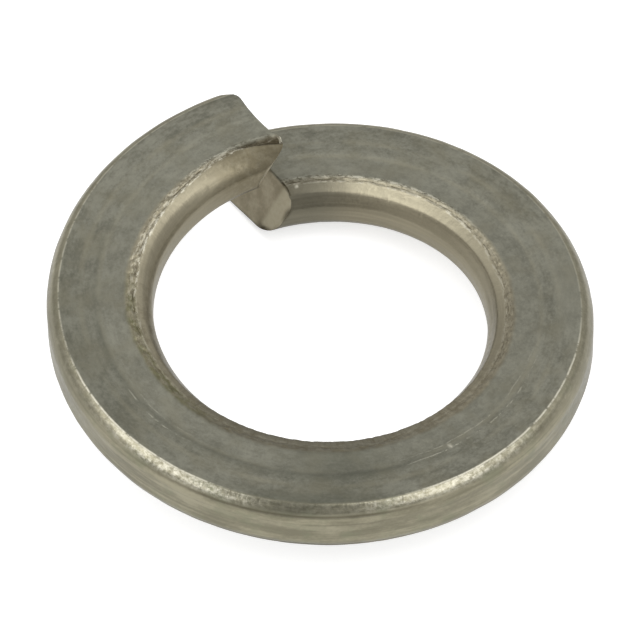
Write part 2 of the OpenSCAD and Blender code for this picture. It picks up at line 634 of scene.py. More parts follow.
@dataclass(frozen=True)
class ShearMarks:
    """What the blade left at the cut ends. Lengths are in millimetres.

    The raised end's tip is smeared forward into a burr, with a torn recess beside it. The low
    end keeps a burnished strip by the bore, where the blade entered.
    """

    upper_edge: float = 0.5
    tip_radius: float = 7.3
    tip_reach: float = 0.2
    tip_length: float = 0.3
    tip_push: float = 0.08
    tip_lift: float = 0.03
    recess_radius: float = 7.17
    recess_slant: float = 0.14
    recess_wander: float = 0.06
    recess_length: float = 1.9
    recess_half_width: float = 0.25
    recess_narrowing: float = 0.11
    recess_least: float = 0.09
    recess_depth: float = 0.15
    burr_radius: float = 7.2
    burr_reach: float = 0.22
    darker_by_tip_radius: float = 6.95
    darker_by_tip_reach: float = 0.45
    spot_place: tuple[float, float] = (6.8, 0.98)
    spot_reach: float = 0.15
    strip_radius: float = 7.1
    strip_width: float = 0.75
    strip_tilt: float = 0.1
    bore_border: tuple[float, float] = (6.62, 6.4)
    heel_radius: float = 6.95
    heel_reach: float = 0.6
    heel_border: tuple[float, float] = (-0.72, -0.92)
    tear_depth: float = 0.03
    ragged_border: tuple[float, float] = (7.05, 6.75)
    ragged_depth: float = 0.07

    def raised_tip(self, p: BarPoint, distance: float) -> tuple[float, float, Marks]:
        """Shape of the raised end's tip.

        Args:
            p: Point of the straight bar.
            distance: Distance from the raised cut along the bar.

        Returns:
            Push along the bar, lift, and the marks of the recess.
        """
        ragged = max(0.0, 0.3 + unevenness(p.height * 2.6, p.radius * 2.0, 41.0))
        at_tip = smooth_step(self.tip_length, 0.0, distance)
        ragged *= at_tip * smooth_step(*self.ragged_border, p.radius)
        if p.height < self.upper_edge:
            return -self.ragged_depth * ragged, 0.0, Marks()
        near_tip = hump(self.tip_radius, self.tip_reach, p.radius)
        push = self.tip_push * near_tip * at_tip - self.ragged_depth * ragged
        lift = self.tip_lift * near_tip * smooth_step(0.9, 0.1, distance)
        length = smooth_step(self.recess_length, 1.2, distance) * smooth_step(0.0, 0.1, distance)
        rough = 0.9 + 0.4 * unevenness(p.along * 4.0, p.radius * 6.0, 77.0)
        narrowed = self.recess_half_width - self.recess_narrowing * distance
        half_width = max(self.recess_least, narrowed)
        wander = self.recess_wander * unevenness(p.along * 3.0, 31.0, 0.0)
        line = self.recess_radius + self.recess_slant * distance + wander
        away = abs(p.radius - line)
        recess = smooth_step(half_width, 0.4 * half_width, away) * length * rough
        lip = hump(line + half_width + 0.02, 0.07, p.radius) * smooth_step(1.4, 1.0, distance)
        lip *= smooth_step(0.0, 0.3, unevenness(p.along * 4.5, 35.0, 0.0))
        burr = hump(self.burr_radius, self.burr_reach, p.radius) * smooth_step(0.15, 0.04, distance)
        # Drawn darker near the tip, by the bore
        darker_by_tip = 0.4 * hump(self.darker_by_tip_radius, self.darker_by_tip_reach, p.radius)
        darker_by_tip *= smooth_step(1.8, 0.5, distance)
        spot = hump(0.0, self.spot_reach, math.dist((p.radius, p.height), self.spot_place))
        # The recess is darkened as painted shadow under the smeared tip
        hollow = max(min(1.0, 1.5 * recess), darker_by_tip, 0.8 * spot * smooth_step(0.25, 0.05, distance))
        return push, lift, Marks(self.recess_depth * recess, hollow, max(0.6 * lip, burr))

    def cut_face(self, p: BarPoint, end: CutEnd) -> Marks:
        """Marks of a cut face.

        Args:
            p: Point of the cut face, on the straight bar.
            end: Which end of the bar.

        Returns:
            Depth of the tearing and of the low end's strip by the bore, and the dark spots
            that the low end has by the bore wall and under its heel.
        """
        torn = unevenness(p.radius * 1.6, p.height * 1.1, 90.0 + end.value)
        fine = unevenness(p.radius * 4.5, p.height * 3.0, 95.0 + end.value)
        tilt = max(0.0, self.strip_radius - p.radius) / self.strip_width
        tear = self.tear_depth * (0.6 + 0.5 * torn + 0.3 * fine)
        if end is CutEnd.RAISED:
            return Marks(tear)
        by_bore = smooth_step(*self.bore_border, p.radius) * hump(0.2, 0.5, p.height)
        heel = hump(self.heel_radius, self.heel_reach, p.radius)
        heel *= smooth_step(*self.heel_border, p.height)
        spotted = smooth_step(-0.3, 0.1, fine)
        return Marks(tear + self.strip_tilt * tilt, max(by_bore, heel) * (0.5 + 0.5 * spotted))


class Pattern:
    """Surface pattern, drawn with nodes over the bar's own straight coordinates."""

    def __init__(self, tree: bpy.types.NodeTree) -> None:
        """Starts from the place on the straight bar: along it, its radius and its height.

        Args:
            tree: The material's node tree.
        """
        self.add = functools.partial(add_node, tree)
        self.place = self.add("Attribute", attribute_name=PLACE).node.outputs["Vector"]
        self.along, self.radius, self.height = self.parts(PLACE)

    def parts(self, layer: str) -> tuple[Socket, ...]:
        """Reads a layer of the mesh as its three parts."""
        vector = self.add("Attribute", attribute_name=layer).node.outputs["Vector"]
        return tuple(self.add("SeparateXYZ", vector).node.outputs)

    def cells(
        self,
        scale: float,
        stretch: tuple[float, float, float] = (1.0, 1.0, 1.0),
        shift: float = 0.0,
        detail: float = 3.0,
        roughness: float = 0.6,
    ) -> Socket:
        """Irregular cells all over the bar.

        Args:
            scale: Cells for each millimetre.
            stretch: Scale along, across and through the bar, for streaks.
            shift: Offset that picks another part of the pattern.
            detail: Octaves of finer cells.
            roughness: Strength of the finer octaves.

        Returns:
            The pattern's value, about 0.5 on average.
        """
        moved = self.add("Mapping", by_name={
            "Vector": self.place, "Scale": stretch, "Location": (shift, shift, shift),
        })
        return self.add("TexNoise", by_name={
            "Vector": moved, "Scale": scale, "Detail": detail, "Roughness": roughness,
        })

    def patches(
        self, low: float, high: float, least: float = 0.0, most: float = 1.0, **cells: Any
    ) -> Socket:
        """Soft patches.

        Args:
            low: Value of the cells outside the patches.
            high: Value of the cells in the heart of the patches.
            least: Share outside the patches.
            most: Share in the heart of the patches.
            **cells: How the cells are drawn.

        Returns:
            The patches' share.
        """
        return self.add("MapRange", self.cells(**cells), low, high, least, most, **EASED)

    def line(self, value: Socket, centre: float, reach: float) -> Socket:
        """Soft line where a value is near a centre.

        Args:
            value: The value to follow, such as a radius.
            centre: Value in the heart of the line, where its share is 1.
            reach: How far from the centre on either side its share falls to 0.

        Returns:
            The line's share.
        """
        off_centre = self.add("Math", value, centre, operation="SUBTRACT")
        away = self.add("Math", off_centre, operation="ABSOLUTE")
        return self.add("MapRange", away, reach, 0.0, **EASED)

    def stretch(self, start: float, full: float, fade: float, end: float) -> Socket:
        """Stretch of the bar.

        Args:
            start: Distance from the low end where the stretch starts.
            full: Distance from which its share is 1.
            fade: Distance from which its share falls again.
            end: Distance where it ends.

        Returns:
            The stretch's share.
        """
        rise = self.add("MapRange", self.along, start, full, **EASED)
        return self.overlap(rise, self.add("MapRange", self.along, end, fade, **EASED))

    def overlap(self, *shares: Socket | float) -> Socket:
        """Share of the surface that all the shares cover at once.

        Args:
            *shares: Shares of the surface.

        Returns:
            Their product.
        """
        return functools.reduce(
            lambda one, other: self.add("Math", one, other, operation="MULTIPLY"), shares
        )

    def strongest(self, *shares: Socket | float) -> Socket:
        """The strongest of several shares.

        Args:
            *shares: Shares of the surface.

        Returns:
            The greatest of them at each place.
        """
        return functools.reduce(
            lambda one, other: self.add("Math", one, other, operation="MAXIMUM"), shares
        )

    def outside(self, other: Socket, share: Socket) -> Socket:
        """What is left of a share outside another one."""
        return self.overlap(share, self.add("Math", 1.0, other, operation="SUBTRACT"))

    def total(self, *weighted: tuple[Socket, float]) -> Socket:
        """Adds several values up, each with its weight.

        Args:
            *weighted: Each value with its weight.

        Returns:
            The sum.
        """
        total: Socket | float = 0.0
        for value, weight in weighted:
            total = self.add("Math", value, weight, total, operation="MULTIPLY_ADD")
        return total

    def wandering(self, value: Socket, width: float, **cells: Any) -> Socket:
        """A value that wanders within a width, so that no line runs quite true."""
        middle = self.add("Math", self.cells(**cells), 0.5, operation="SUBTRACT")
        return self.total((middle, width), (value, 1.0))

    def coats(self, base: Socket, *coats: tuple[Socket, Socket | str]) -> Socket:
        """Lays colours over a base, each over those before it.

        Args:
            base: The lowest colour.
            *coats: Each colour's share and the colour, as a socket or an sRGB hex code.

        Returns:
            The colour that shows.
        """
        for share, colour in coats:
            base = self.add("Mix", share, base, colour, **COLOURED)
        return base


@dataclass(frozen=True)
class TumbledSteel:
    """Plain spring steel, rolled to section and tumbled.

    The bearing faces come out a satin olive grey, the drawn walls a little warmer, and the
    wrinkles by the bore hold dark residue between burnished flakes. Scales are in cells for
    each millimetre, and depths, radii and distances along the bar in millimetres.
    """

    face_dark: str = "#646358"
    face_light: str = "#8a897c"
    outer_dark: str = "#7a7664"
    outer_light: str = "#9b9681"
    facet: str = "#a69f89"
    bore_wall: str = "#777160"
    olive: str = "#7c7e68"
    sheared: str = "#b3ab96"
    sheared_dark: str = "#948c77"
    burnished_strip: str = "#b4ad98"
    # Dark residue in the wrinkles and cracks, also laid as painted shadow in the raised tip's
    # recess and in the outer groove
    residue_and_shadow: str = "#423b2c"
    tarnish: str = "#67664a"
    rusty: str = "#665e49"
    # Bare burnished steel of flakes, burrs and scratches; it also lays the painted highlights and
    # glints
    burnished: str = "#d4d0bf"
    # Painted shade on the front of the faces and on the shoulder opposite the split; the same
    # colour also darkens the rolled step and the left side of the faces
    ridge_shade: str = "#55564b"
    outer_border: tuple[float, float] = (9.86, 9.98)
    outer_wander: float = 0.048
    inner_border: tuple[float, float] = (7.5, 7.28)
    inner_wander: float = 0.16
    facet_border: tuple[float, float] = (6.66, 6.8)
    strip_border: tuple[float, float] = (7.26, 7.04)
    step_radius: float = 8.55
    scratch_radii: tuple[float, float] = (8.58, 8.3)
    break_radius: float = 9.92
    break_reach: float = 0.06
    break_height: tuple[float, float] = (1.0, 1.1)
    face_height: tuple[float, float] = (0.6, 0.75)
    sparkle_start: tuple[float, float] = (9.92, 9.98)
    sparkle_end: tuple[float, float] = (10.33, 10.18)
    streak_end: tuple[float, float] = (10.3, 10.15)
    face_roughness: float = 0.46
    shoulder_roughness: float = 0.3
    sheared_roughness: float = 0.6
    residue_and_shadow_roughness: float = 0.25
    mottle_scale: float = 2.2
    grain_scale: float = 8.0
    grain_depth: float = 0.006
    dimple_depth: float = 0.01
    streak_depth: float = 0.012
    residue_and_shadow_cover: float = 0.8

    def material(self, name: str) -> bpy.types.Material:
        """Builds the material.

        Args:
            name: Name of the new material.

        Returns:
            The material, with its pattern on the bar's own straight coordinates.
        """
        material = bpy.data.materials.new(name)
        material.use_nodes = True
        material.node_tree.nodes.clear()
        on = Pattern(material.node_tree)
        grain = on.cells(self.grain_scale)
        fine = on.add("MapRange", grain, 0.3, 0.7, **EASED)
        cut, hollow, glint = (
            on.add("Attribute", attribute_name=layer).node.outputs["Fac"]
            for layer in (CUT_FACE, HOLLOW, GLINT)
        )
        broken, shoulder_highlight, facet = on.parts(BRIGHT)
        outer, inner = self._shoulders(on)
        pits, flakes = (on.outside(cut, share) for share in self._crest(on))
        dark = on.strongest(pits, hollow)
        # Bright share: real flakes, scratches and burrs, with the painted highlights of the break
        # line and the shoulder and the painted glint spots
        bright = on.strongest(
            flakes, self._break_line(on, broken), self._sparkle(on, shoulder_highlight),
            self._scratches(on), glint,
        )
        steel = on.coats(
            self._faces(on, fine),
            (outer, self._outer_wall(on, fine)),
            (inner, self._inner_wall(on, fine, facet)),
            # Painted shade on the outer shoulder opposite the split
            (self._front_shade(on), self.ridge_shade),
            (cut, self._sheared(on, grain)),
            # Residue in the wrinkles and cracks, and painted shadow in the recess and the groove
            (on.overlap(dark, self.residue_and_shadow_cover), self.residue_and_shadow),
            (bright, self.burnished),
        )
        shoulder = on.strongest(outer, inner)
        satin: Socket | float = self.face_roughness
        for share, level in ((shoulder, self.shoulder_roughness), (cut, self.sheared_roughness)):
            satin = on.add("MapRange", share, 0.0, 1.0, satin, level, **EASED)
        rough = on.total((fine, 0.1), (dark, self.residue_and_shadow_roughness), (satin, 1.0))
        relief: dict[str, Socket] = {}
        for height, depth in (
            (grain, self.grain_depth),
            (on.cells(2.2, shift=4.0), self.dimple_depth),
            (self._streaks(on, outer, inner), self.streak_depth),
        ):
            relief["Normal"] = on.add("Bump", by_name={
                "Height": height, "Strength": 1.0, "Distance": depth * MM, **relief,
            })
        shader = on.add("BsdfPrincipled", by_name={
            "Base Color": steel, "Metallic": 1.0, "Roughness": rough, **relief,
        })
        on.add("OutputMaterial", shader)
        return material

    def _shoulders(self, on: Pattern) -> tuple[Socket, Socket]:
        """Shares, from 0 on the bearing faces to 1, of the outer and the inner edge.

        Args:
            on: The pattern to draw with.

        Returns:
            Share of the outer edge, and share of the inner one.
        """
        border = {"scale": 1.6, "shift": 9.0}
        outer = on.wandering(on.radius, self.outer_wander, **border)
        inner = on.wandering(on.radius, self.inner_wander, **border)
        return (
            on.add("MapRange", outer, *self.outer_border, **EASED),
            on.add("MapRange", inner, *self.inner_border, **EASED),
        )

    def _front_shade(self, on: Pattern) -> Socket:
        """Painted shade: the darker middle of the outer shoulder opposite the split, standing in
        for the dark that it mirrors from the camera's side.

        Args:
            on: The pattern to draw with.

        Returns:
            The shade's share.
        """
        return on.overlap(
            on.line(on.along, 29.8, 4.0),
            on.add("MapRange", on.radius, 9.2, 9.8, **EASED),
            on.add("MapRange", on.radius, 10.38, 10.3, 0.0, 0.45, **EASED),
        )

    def _faces(self, on: Pattern, fine: Socket) -> Socket:
        """Olive grey of the bearing faces, mottled and faintly drawn along the bar.

        Args:
            on: The pattern to draw with.
            fine: The fine grain, eased to a share.

        Returns:
            The faces' colour.
        """
        mottle = on.patches(
            0.25, 0.75, scale=self.mottle_scale, stretch=(0.7, 1.0, 1.0), detail=6.0, roughness=0.7
        )
        clouds = on.patches(0.3, 0.7, scale=0.4, shift=5.0, detail=2.0)
        drawn = on.patches(0.3, 0.7, scale=7.0, stretch=(0.03, 1.0, 1.0), shift=14.0, detail=2.0)
        tone = on.total((fine, 0.5), (mottle, 1.0), (drawn, 0.15), (clouds, 0.4))
        light = on.add("MapRange", tone, 0.1, 1.85, **EASED)
        grey = on.add("Mix", light, self.face_dark, self.face_light, **COLOURED)
        warm = on.patches(0.4, 0.75, 0.0, 0.5, scale=0.8, shift=30.0)
        rolled = on.strongest(on.line(on.radius, 8.4, 0.16), on.line(on.radius, 9.1, 0.2))
        broken = on.patches(0.35, 0.6, 0.0, 0.25, scale=1.0, stretch=(0.5, 1.0, 1.0), shift=44.0)
        right = on.overlap(
            on.line(on.along, 15.4, 3.5),
            on.add("MapRange", on.radius, 8.7, 9.2, 0.0, 0.5, **EASED),
        )
        by_bore = on.add("MapRange", on.radius, 9.2, 7.8, 0.0, 0.25, **EASED)
        ridge = on.overlap(
            on.line(on.radius, self.step_radius, 0.4), on.stretch(22.0, 28.0, 41.0, 47.0)
        )
        # Painted shade across the faces at the front, opposite the split, deeper towards the bore
        front = on.overlap(
            on.line(on.along, 28.5, 3.5),
            on.add("MapRange", on.radius, 8.4, 8.1, 0.2, 0.36, **EASED),
        )
        left = on.overlap(
            on.line(on.along, 39.0, 9.0),
            on.add("MapRange", on.radius, 8.5, 9.1, 0.0, 0.24, **EASED),
        )
        return on.coats(
            grey,
            (warm, self.outer_dark),
            (on.overlap(rolled, broken), self.outer_light),
            (on.strongest(right, by_bore), self.face_light),
            (on.strongest(on.total((ridge, 0.3), (front, 1.0)), left), self.ridge_shade),
        )

    def _outer_wall(self, on: Pattern, fine: Socket) -> Socket:
        """Warmer outer edge, drawn along the bar in fine lines, with olive patches.

        Args:
            on: The pattern to draw with.
            fine: The fine grain, eased to a share.

        Returns:
            The outer edge's colour.
        """
        drawn = on.patches(
            0.3, 0.7, 0.0, 0.6, scale=7.0, stretch=(0.02, 1.0, 1.0), shift=2.0, detail=4.0
        )
        mottle = on.patches(
            0.3, 0.7, scale=1.8, stretch=(0.3, 1.0, 1.0), shift=17.0, detail=4.0
        )
        tone = on.total((drawn, 1.0), (mottle, 1.0), (fine, 0.3))
        light = on.add("MapRange", tone, 0.3, 1.7, **EASED)
        blotches = on.patches(0.35, 0.65, 0.35, 1.0, scale=1.7, shift=37.0, detail=5.0)
        return on.coats(
            on.add("Mix", light, self.outer_dark, self.outer_light, **COLOURED),
            (on.patches(0.5, 0.7, 0.0, 0.5, scale=1.1, shift=33.0), self.olive),
            (on.outside(on.stretch(17.0, 23.0, 35.0, 40.0), blotches), self.outer_dark),
        )

    def _inner_wall(self, on: Pattern, fine: Socket, facet: Socket) -> Socket:
        """Facet that is burnished in places, and the dull brown wall of the bore below it,
        lightened with painted light from 2.5 to 17 mm along the bar and from 38 mm on.

        Args:
            on: The pattern to draw with.
            fine: The fine grain, eased to a share.
            facet: Share of the burnishing along the bar.

        Returns:
            The inner edge's colour.
        """
        drawn = on.patches(
            0.3, 0.7, scale=6.0, stretch=(0.03, 1.0, 1.0), shift=27.0, detail=3.0
        )
        tone = on.total((fine, 0.3), (drawn, 1.0))
        light = on.add("MapRange", tone, 0.0, 1.3, 0.0, 0.3, **EASED)
        # Painted light: the wall is lit from 2.5 to 17 mm along the bar and from 38 mm on
        left_end = on.add("MapRange", on.along, 38.0, 42.0, **EASED)
        lit = on.total((left_end, 0.34), (on.stretch(2.5, 9.0, 13.0, 17.0), 0.34))
        wall = on.add("Mix", light, self.bore_wall, self.facet, **COLOURED)
        wall = on.coats(wall, (lit, self.facet))
        uneven = on.patches(0.35, 0.65, 0.0, 0.2, scale=1.3, shift=81.0)
        burnished = on.add("Mix", uneven, self.facet, wall, **COLOURED)
        on_facet = on.overlap(on.add("MapRange", on.radius, *self.facet_border, **EASED), facet)
        low_end = on.add("MapRange", on.along, 5.0, 2.2, 0.0, 0.5, **EASED)
        flecks = {
            "scale": 2.2, "stretch": (0.8, 1.0, 1.0), "shift": 95.0, "detail": 4.0,
            "roughness": 0.7,
        }
        by_tip = on.overlap(
            on.patches(0.3, 0.6, 0.3, 0.7, **flecks),
            on.add("MapRange", on.along, 48.5, 52.0, **EASED),
        )
        flecked = on.overlap(
            on.stretch(17.0, 23.0, 40.0, 46.0), on.patches(0.46, 0.6, 0.0, 0.4, **flecks)
        )
        tarnished = on.overlap(
            on.stretch(33.0, 36.5, 41.0, 45.0),
            on.add("MapRange", on.radius, 6.9, 7.1, **EASED),
            on.patches(0.38, 0.6, 0.2, 0.8, scale=3.0, stretch=(0.7, 1.0, 1.0), shift=87.0),
        )
        return on.coats(
            wall,
            (on_facet, burnished),
            (on.total((on.stretch(21.0, 26.0, 33.0, 39.0), 0.5), (low_end, 1.0)), self.face_dark),
            (on.strongest(flecked, by_tip), self.rusty),
            (tarnished, self.tarnish),
        )

    def _sheared(self, on: Pattern, grain: Socket) -> Socket:
        """Dull grey fracture, with a brighter burnished strip by the bore.

        Args:
            on: The pattern to draw with.
            grain: The grain, as it is drawn.

        Returns:
            The cut faces' colour.
        """
        clouds = on.total((grain, 0.4), (on.cells(1.6, shift=8.0, detail=5.0), 1.0))
        torn = on.add("MapRange", clouds, 0.5, 0.95, **EASED)
        return on.coats(
            on.add("Mix", torn, self.sheared_dark, self.sheared, **COLOURED),
            (on.add("MapRange", on.radius, *self.strip_border, **EASED), self.burnished_strip),
        )

    def _crest(self, on: Pattern) -> tuple[Socket, Socket]:
        """Broken crest beside the bore.

        Args:
            on: The pattern to draw with.

        Returns:
            Share of dark cracks and pits, and share of burnished flakes.
        """
        past, flaked, pleated = on.parts(CREST)
        lengthwise = (1.0, 0.2, 0.2)
        off_middle = on.add("Math", on.height, operation="ABSOLUTE")
        on_face = on.add("MapRange", off_middle, *self.face_height, **EASED)
        line = on.wandering(past, 0.08, scale=1.3, shift=3.0)
        less_pitted, less_cracked = (
            on.add("Math", pleated, -loss, 1.0, operation="MULTIPLY_ADD") for loss in (0.5, 0.8)
        )
        pits = on.overlap(
            on.patches(
                0.48, 0.62, 0.0, 0.6,
                scale=4.5, stretch=(1.0, 1.8, 1.0), shift=50.0, roughness=0.7,
            ),
            on.add("MapRange", past, 0.34, 0.2, **EASED),
            on.add("MapRange", past, -0.1, -0.04, **EASED),
            less_pitted,
        )
        crack = on.overlap(
            on.line(line, 0.025, 0.05),
            on.patches(0.42, 0.56, scale=1.5, stretch=lengthwise, shift=12.0),
            less_cracked,
        )
        pleats = on.overlap(
            on.patches(
                0.42, 0.68, 0.0, 0.3,
                scale=6.0, stretch=(1.0, 0.15, 0.15), shift=61.0, roughness=0.7,
            ),
            on.add("MapRange", past, 0.42, 0.1, **EASED),
            pleated,
        )
        low_end = on.add("MapRange", on.along, 10.0, 8.0, **EASED)
        by_line = on.strongest(
            on.line(line, -0.05, 0.1), on.add("MapRange", past, 0.3, 0.2, 0.0, 0.4, **EASED)
        )
        by_line = on.overlap(
            by_line, on.add("Math", low_end, -0.55, 1.0, operation="MULTIPLY_ADD")
        )
        chips = on.overlap(
            on.patches(
                0.47, 0.58, scale=3.6, stretch=(0.8, 3.0, 1.0), shift=21.0, roughness=0.8
            ),
            on.strongest(by_line, on.overlap(on.line(line, 0.19, 0.1), low_end, 0.6)),
            on.add("MapRange", line, -0.15, -0.1, **EASED),
            flaked,
            on_face,
        )
        return on.outside(chips, on.overlap(on.strongest(pits, crack, pleats), on_face)), chips

    def _break_line(self, on: Pattern, share: Socket) -> Socket:
        """Thin line where the bearing face breaks over to the outer edge: a burnished edge, painted
        brighter as a highlight where the lamps mirror in it.

        Args:
            on: The pattern to draw with.
            share: Share of the marks along the bar.

        Returns:
            The line's share.
        """
        radius = on.wandering(on.radius, 0.04, scale=1.5, shift=71.0)
        off_middle = on.add("Math", on.height, operation="ABSOLUTE")
        return on.overlap(
            on.line(radius, self.break_radius, self.break_reach),
            on.patches(
                0.34, 0.52,
                scale=2.4, stretch=(1.0, 0.2, 0.2), shift=73.0, detail=4.0, roughness=0.7,
            ),
            on.add("MapRange", off_middle, *self.break_height, **EASED),
            share,
        )

    def _sparkle(self, on: Pattern, share: Socket) -> Socket:
        """Painted highlight on the outer shoulder where the lamps mirror in it, drawn as bright
        specks.

        Args:
            on: The pattern to draw with.
            share: Share of the marks along the bar.

        Returns:
            The specks' share.
        """
        return on.overlap(
            on.patches(
                0.36, 0.68, 0.0, 0.75,
                scale=5.0, stretch=(1.0, 1.4, 0.6), shift=91.0, detail=4.0, roughness=0.75,
            ),
            on.add("MapRange", on.radius, *self.sparkle_start, **EASED),
            on.add("MapRange", on.radius, *self.sparkle_end, **EASED),
            share,
        )

    def _scratches(self, on: Pattern) -> Socket:
        """Broken bright scratches along the rolled step of the bearing face.

        Args:
            on: The pattern to draw with.

        Returns:
            The scratches' share.
        """
        radius = on.wandering(on.radius, 0.5, scale=0.3, shift=55.0)
        outer, inner = self.scratch_radii
        return on.overlap(
            on.strongest(
                on.line(radius, outer, 0.045), on.overlap(on.line(radius, inner, 0.04), 0.6)
            ),
            on.patches(
                0.46, 0.6, 0.0, 0.42,
                scale=3.0, stretch=(1.0, 1.5, 0.5), shift=57.0, detail=4.0, roughness=0.7,
            ),
            on.strongest(on.stretch(16.0, 22.5, 24.5, 27.0), on.line(on.along, 36.1, 2.6)),
        )

    def _streaks(self, on: Pattern, outer: Socket, inner: Socket) -> Socket:
        """Fine streaks across the edges, and faint ones along the faces.

        Args:
            on: The pattern to draw with.
            outer: Share of the outer edge.
            inner: Share of the inner edge.

        Returns:
            Height of the streaks, to press into the surface.
        """
        across = on.cells(8.0, stretch=(1.0, 0.2, 0.2), shift=6.0)
        near_break = on.overlap(outer, on.add("MapRange", on.radius, *self.streak_end, **EASED))
        on_edges = on.overlap(across, on.total((inner, 0.5), (near_break, 1.0)))
        along = on.cells(6.0, stretch=(0.06, 1.0, 1.0), shift=14.0)
        return on.total((along, 0.25), (on_edges, 1.0))


class Layers(NamedTuple):
    """Vertex layers of the washer's mesh."""

    place: Any
    cut: Any
    hollow: Any
    glint: Any
    crest: Any
    bright: Any
    slides: Any

    @classmethod
    def on(cls, bm: bmesh.types.BMesh) -> "Layers":
        """Adds the layers to a mesh.

        Args:
            bm: The washer's mesh.

        Returns:
            The new layers.
        """
        vectors, values = bm.verts.layers.float_vector, bm.verts.layers.float
        return cls(
            vectors.new(PLACE), values.new(CUT_FACE), values.new(HOLLOW), values.new(GLINT),
            vectors.new(CREST), vectors.new(BRIGHT), vectors.new("slides"),
        )


@dataclass(frozen=True)
class LockWasher:
    """The washer, built as one piece from its coil, its marks and its finish.

    Lengths are in millimetres. The bar's first and last few degrees have finer rows.
    """

    coil: Coil
    relief: RolledRelief = field(default_factory=RolledRelief)
    shear: ShearMarks = field(default_factory=ShearMarks)
    finish: TumbledSteel = field(default_factory=TumbledSteel)
    end_zone: float = math.radians(2.4)
    middle_steps: int = 64
    rows_per_step: int = 10
    weld: float = 0.002
    eased_reach: float = 0.16
    easing_rounds: int = 4
    cut_border: tuple[float, float] = (0.18, 0.04)

    def build(self) -> bpy.types.Object:
        """Builds the washer's mesh.

        Returns:
            The new object, at the origin, with its place in its mesh.
        """
        bm = bmesh.new()
        layers = Layers.on(bm)
        self._cut_face(bm, layers)
        self._coil_up(bm, layers)
        self._lay_on_coil(bm, layers)
        self._ease_cut_edges(bm, layers)
        self._mark(bm, layers)
        bmesh.ops.translate(bm, verts=list(bm.verts), vec=(0.0, 0.0, -self.coil.lowest))
        bmesh.ops.scale(bm, verts=list(bm.verts), vec=(MM, MM, MM))
        bm.verts.layers.float_vector.remove(layers.slides)
        mesh = bpy.data.meshes.new("lock_washer")
        bm.to_mesh(mesh)
        bm.free()
        mesh.shade_smooth()
        washer = bpy.data.objects.new("lock_washer", mesh)
        bpy.context.scene.collection.objects.link(washer)
        return washer

    def dress(self, washer: bpy.types.Object) -> None:
        """Gives the washer its finish."""
        washer.data.materials.append(self.finish.material("rolled and tumbled spring steel"))

    def _cut_face(self, bm: bmesh.types.BMesh, layers: Layers) -> None:
        """Lays the section out as a grid of faces in the low end's cut.

        Args:
            bm: The washer's mesh.
            layers: The mesh's layers.
        """
        coil, section = self.coil, self.coil.section
        columns, rows = section.columns, section.rows
        bmesh.ops.create_grid(bm, x_segments=columns, y_segments=rows, size=1.0)
        for vert in bm.verts:
            column = round((vert.co.x + 1.0) / 2.0 * columns)
            row = round((vert.co.y + 1.0) / 2.0 * rows)
            radius, height = section.point(column, row)
            low, raised = (coil.slide(radius, height, end) for end in CutEnd)
            vert.co = coil.place(radius, height, coil.start + low)
            vert[layers.place] = Vector((0.0, radius, height))
            vert[layers.slides] = Vector((low, raised, 0.0))
            vert[layers.cut] = 1.0 if 0 < column < columns and 0 < row < rows else 0.0

    def _coil_up(self, bm: bmesh.types.BMesh, layers: Layers) -> None:
        """Spins the section's outline up the coil in rows, and lids the raised end.

        Args:
            bm: The washer's mesh.
            layers: The mesh's layers.
        """
        coil = self.coil
        cap = list(bm.faces)
        outline = [e for e in bm.edges if e.is_boundary]
        last = outline + list({v for e in outline for v in e.verts})
        middle = coil.turn - 2.0 * self.end_zone
        for angle, steps in ((self.end_zone, 1), (middle, self.middle_steps), (self.end_zone, 1)):
            rise = coil.end_rise * angle / steps / FULL_TURN
            last = bmesh.ops.spin(
                bm, geom=last, cent=(0.0, 0.0, 0.0), axis=(0.0, 0.0, -1.0), angle=angle,
                dvec=(0.0, 0.0, rise), steps=steps, use_merge=False, use_duplicate=False,
            )["geom_last"]
        lengthwise = [
            e for e in bm.edges if e.verts[0][layers.place] == e.verts[1][layers.place]
        ]
        bmesh.ops.subdivide_edges(
            bm, edges=lengthwise, cuts=self.rows_per_step - 1, use_grid_fill=True
        )
        lid = list({g for f in cap for g in (f, *f.edges, *f.verts)})
        copied = bmesh.ops.duplicate(bm, geom=lid)["geom"]
        verts = [g for g in copied if isinstance(g, bmesh.types.BMVert)]
        bmesh.ops.translate(bm, verts=verts, vec=(0.0, 0.0, coil.end_rise * coil.turn / FULL_TURN))

    def _lay_on_coil(self, bm: bmesh.types.BMesh, layers: Layers) -> None:
        """Lays every point truly on the coil and closes the seams.

        A point's height tells its share of the way to the raised end. The rows change by even
        steps from the low end's face to the raised end's.

        Args:
            bm: The washer's mesh.
            layers: The mesh's layers.
        """
        coil = self.coil
        for vert in bm.verts:
            _, radius, height = vert[layers.place]
            low, raised, _ = vert[layers.slides]
            spun = (vert.co.z - height) * FULL_TURN / coil.end_rise
            share = (spun - coil.start - low) / coil.turn
            angle = coil.start + coil.turn * share + low + (raised - low) * share
            vert.co = coil.place(radius, height, angle)
            vert[layers.place] = Vector((angle * coil.section.middle_radius, radius, height))
        bmesh.ops.remove_doubles(bm, verts=list(bm.verts), dist=self.weld)
        bmesh.ops.recalc_face_normals(bm, faces=list(bm.faces))

    def _from_cut(self, vert: bmesh.types.BMVert, layers: Layers) -> tuple[float, CutEnd]:
        """Finds the nearer cut.

        Args:
            vert: Vertex of the bar.
            layers: The mesh's layers.

        Returns:
            Distance to the cut along the bar, and which end it is.
        """
        along, radius, _ = vert[layers.place]
        low, raised, _ = vert[layers.slides]
        angle = along / self.coil.section.middle_radius - self.coil.start
        from_low, from_raised = angle - low, self.coil.turn + raised - angle
        end = CutEnd.LOW if from_low < from_raised else CutEnd.RAISED
        return max(0.0, min(from_low, from_raised)) * radius, end

